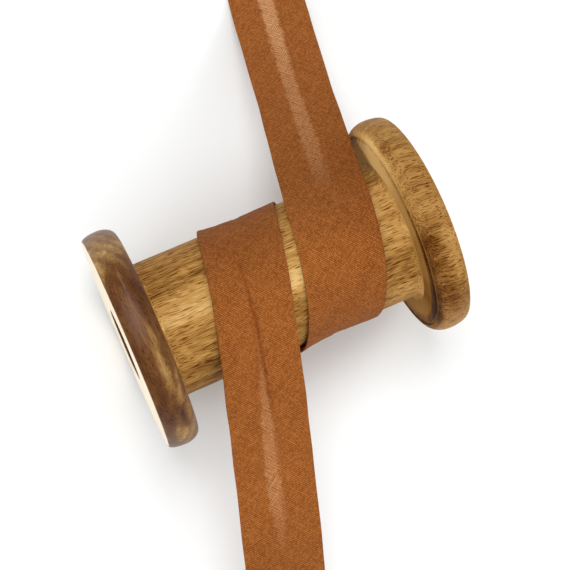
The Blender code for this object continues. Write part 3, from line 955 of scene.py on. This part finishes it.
def light_stripe(tree, woven):
    """How much of the pale light shows: short crossed lines between threads, in the ragged gap."""
    gap = add(tree, "Attribute", out="Fac", attribute_name="inside_gap")
    light = add(tree, "Attribute", out="Fac", attribute_name="light_behind")
    fray = add(tree, "TexNoise", {"Vector": woven["space"], "Scale": FRAY_SCALE, "Detail": 2.0})
    ragged = add(tree, "Math", (fray, FRAY, gap), operation="MULTIPLY_ADD")
    stripe = add(tree, "MapRange", (ragged, *STRIPE_EDGE), interpolation_type="SMOOTHSTEP")
    bend = add(tree, "TexNoise", {"Vector": woven["space"], "Scale": BEND_SCALE, "Detail": 2.0})
    side = add(tree, "TexNoise", {"Vector": woven["space"], "Scale": SIDE_SCALE, "Detail": 2.0})
    shine = add(tree, "MapRange", (light, *OPEN_LIGHT, *OPEN_PALE))
    for thread, slub, edges in zip(woven["threads"], woven["slubs"], (SIDE_EDGES[::-1], SIDE_EDGES)):
        phase = add(tree, "Math", (thread, math.pi / LIGHT_LINES), operation="MULTIPLY")
        phase = add(tree, "Math", (slub, LINE_JITTER, phase), operation="MULTIPLY_ADD")
        phase = add(tree, "Math", (bend, LINE_BEND, phase), operation="MULTIPLY_ADD")
        wave = add(tree, "Math", (phase,), operation="COSINE")
        opening = add(tree, "Math", (wave, 2.0), operation="POWER")
        pale = add(tree, "MapRange", (side, *edges, *LINE_PALE))
        shine = add(tree, "Math", (opening, pale, shine), operation="MULTIPLY_ADD")
    strokes = add(tree, "TexNoise", {"Vector": woven["space"], "Scale": STROKE_SCALE, "Detail": 3.0,
                                     "Roughness": 0.7})
    strokes = add(tree, "MapRange", (strokes, *STROKE_EDGES, *STROKE_PALE))
    shine = add(tree, "Math", (shine, strokes), operation="MULTIPLY")
    stripe = add(tree, "Math", (stripe, light), operation="MULTIPLY")
    return add(tree, "Math", (stripe, shine), operation="MULTIPLY", use_clamp=True)


print(f"pale lines {LIGHT_LINES * THREAD:.2f} mm apart")

# %% The cotton material
# painted shade in the creases: the sunk cloth is darkened and reddened as the shadow in each fold
CREASE_SHADE_SEEN = (0.02, 0.26)    # mm deep where a crease's painted shade begins to show, and where it does fully
CREASE_PAINTED_SHADE = 0.48
CREASE_SHADE_TINT = "b87858"        # what the colour is multiplied by in a crease, its painted shade
PALE_COTTON = "dca97a"        # rust-brown cotton with the light behind it
WEAVE_BUMP, WEAVE_HEIGHT = 0.5, 0.09 * MM


def cotton_material():
    """Matt rust-brown lawn: a fine woven speckle, painted shade in each crease and along the strip, the
    pale stripe.
    """
    material, tree, shader = new_material("bias_cotton_lawn")
    uv = add(tree, "UVMap", uv_map="cloth")
    woven = weave(tree, uv)
    colour = add(tree, "ValToRGB", (dyed_tone(tree, uv, woven),), stops=[
        (0.1, "572b0a"), (1.0, "bd7b42"), (0.42, "87491c"), (0.7, "a5622a")])
    # painted shade in each crease
    sunk = add(tree, "Attribute", out="Fac", attribute_name="crease")
    shade = add(tree, "MapRange", (sunk, *CREASE_SHADE_SEEN, 0.0, CREASE_PAINTED_SHADE))
    colour = add(tree, "Mix", {0: shade, 6: colour, 7: linear(CREASE_SHADE_TINT)}, out=2, data_type="RGBA",
                 blend_type="MULTIPLY")
    stripe = light_stripe(tree, woven)
    colour = add(tree, "Mix", {0: stripe, 6: colour, 7: linear(PALE_COTTON)}, out=2, data_type="RGBA")
    # painted shade along the strip, darker where a stretch faces away from the lamps
    painted_shade = add(tree, "Attribute", out="Fac", attribute_name="painted_shade")
    colour = add(tree, "VectorMath", {0: colour, 3: painted_shade}, operation="SCALE")
    bump = add(tree, "Bump", {"Height": woven["height"], "Strength": WEAVE_BUMP,
                              "Distance": WEAVE_HEIGHT})
    set_inputs(tree, shader, {
        "Base Color": colour, "Normal": bump, "Roughness": 0.9, "Specular IOR Level": 0.1,
        "Sheen Weight": 0.03, "Sheen Roughness": 0.5})
    print(f"{material.name}: {len(tree.nodes)} nodes")
    return material


# %% Finish the binding
CLOTH_SHARP = math.radians(70)

binding.data.materials.append(cotton_material())
binding.data.set_sharp_from_angle(angle=CLOTH_SHARP)
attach(binding, "root")
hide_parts("bias_binding")

# %% [markdown]
# ## The camera
#
# The photograph was taken from almost straight above. The camera's place, turn and focal length
# were found by fitting the outlines of the flanges and the barrel. The place is given from the
# middle of the spool, the turn in radians and the lens in millimetres.

# %% Place the camera
CAMERA_PLACE = (-64.66 * MM, 3.86 * MM, 487.61 * MM)
CAMERA_TURN = (0.0451, -0.1407, -0.4055)
CAMERA_LENS = 93.57
SENSOR_WIDTH = 36.0
NEAREST_SEEN = 10 * MM

camera_data = bpy.data.cameras.new("camera")
camera_data.lens = CAMERA_LENS
camera_data.sensor_width = SENSOR_WIDTH
camera_data.clip_start = NEAREST_SEEN
camera = bpy.data.objects.new("camera", camera_data)
camera.location = (MIDDLE_X + CAMERA_PLACE[0], AXIS_Y + CAMERA_PLACE[1], CAMERA_PLACE[2])
camera.rotation_euler = CAMERA_TURN
bpy.context.scene.collection.objects.link(camera)
bpy.context.scene.camera = camera
print(f"the camera is {camera.location.z / MM:.0f} mm above the surface, lens {CAMERA_LENS:.0f} mm")

# %% [markdown]
# ## The studio
#
# The picture is high key: a white surface that burns out to pure white under a soft white tent, so
# that shadows are wide and pale. Polished wood keeps its full colour in the picture, as it does
# where the tent's roof behind the camera is dark, so the room counts for little in reflections, all
# but a soft window almost overhead. Four soft lamps fill the sides, and none of them is seen in the
# polish, so the only gleam is the window's.

# %% The floor
# matt white paper: it gives the eye nothing but the spool's and the binding's own soft shadows
FLOOR_HALF = 3.0
FLOOR_DOWN = 0.05 * MM        # just under what rests on it

corner = np.array([-FLOOR_HALF, FLOOR_HALF])
floor_x, floor_y = np.meshgrid(corner, corner, indexing="ij")
floor_points = np.stack([floor_x, floor_y, np.full((2, 2), -FLOOR_DOWN)], axis=-1)
floor = grid_object("floor", floor_points[:, ::-1])
paper, paper_tree, paper_shader = new_material("white_paper")
set_inputs(paper_tree, paper_shader, {
    "Base Color": linear("f2f4f4"), "Roughness": 0.9, "Specular IOR Level": 0.1})
floor.data.materials.append(paper)

# %% The room
ROOM_LIGHT = 0.67
ROOM_IN_REFLECTIONS = 0.05
WINDOW_IN_REFLECTIONS = 4.8
WINDOW_TOWARDS = (0.0, 0.31, 0.95)
WINDOW_EDGE = (0.86, 0.98)    # cosine of the angle from its middle where it begins, and is full

world = bpy.data.worlds.new("studio")
world.use_nodes = True
room = world.node_tree
reflected = add(room, "LightPath", out="Is Glossy Ray")
towards = add(room, "TexCoord", out="Generated")
towards = add(room, "VectorMath", (towards, WINDOW_TOWARDS), out="Value", operation="DOT_PRODUCT")
window = add(room, "MapRange", (towards, *WINDOW_EDGE, ROOM_IN_REFLECTIONS, WINDOW_IN_REFLECTIONS),
             interpolation_type="SMOOTHSTEP")
strength = add(room, "Mix", {0: reflected, 2: ROOM_LIGHT, 3: window})
set_inputs(room, room.nodes["Background"], {"Color": linear("ffffff"), "Strength": strength})
bpy.context.scene.world = world
print(f"room light {ROOM_LIGHT}")

# %% The lamps
LAMP_AWAY = 1.2
LAMP_SIZE = 0.7
LAMPS = (
    # name, degrees round from +X, degrees above the surface, watts
    ("left_lamp", 180, 22, 4.7),
    ("front_lamp", 270, 22, 4.4),
    ("right_lamp", 0, 35, 3.4),
    ("back_lamp", 90, 66, 5.7),
)
for name, turn, height, watts in LAMPS:
    lamp = bpy.data.lights.new(name, "AREA")
    lamp.shape = "DISK"
    lamp.size = LAMP_SIZE
    lamp.energy = watts
    holder = bpy.data.objects.new(name, lamp)
    turn, height = math.radians(turn), math.radians(height)
    holder.location = (
        MIDDLE_X + LAMP_AWAY * math.cos(height) * math.cos(turn),
        AXIS_Y + LAMP_AWAY * math.cos(height) * math.sin(turn),
        LAMP_AWAY * math.sin(height))
    holder.rotation_euler = (math.pi / 2 - height, 0, turn + math.pi / 2)
    holder.visible_glossy = False
    bpy.context.scene.collection.objects.link(holder)

bpy.context.scene.view_settings.view_transform = "Standard"
print(f"{len(LAMPS)} lamps, {sum(watts for *_, watts in LAMPS):.1f} W together")
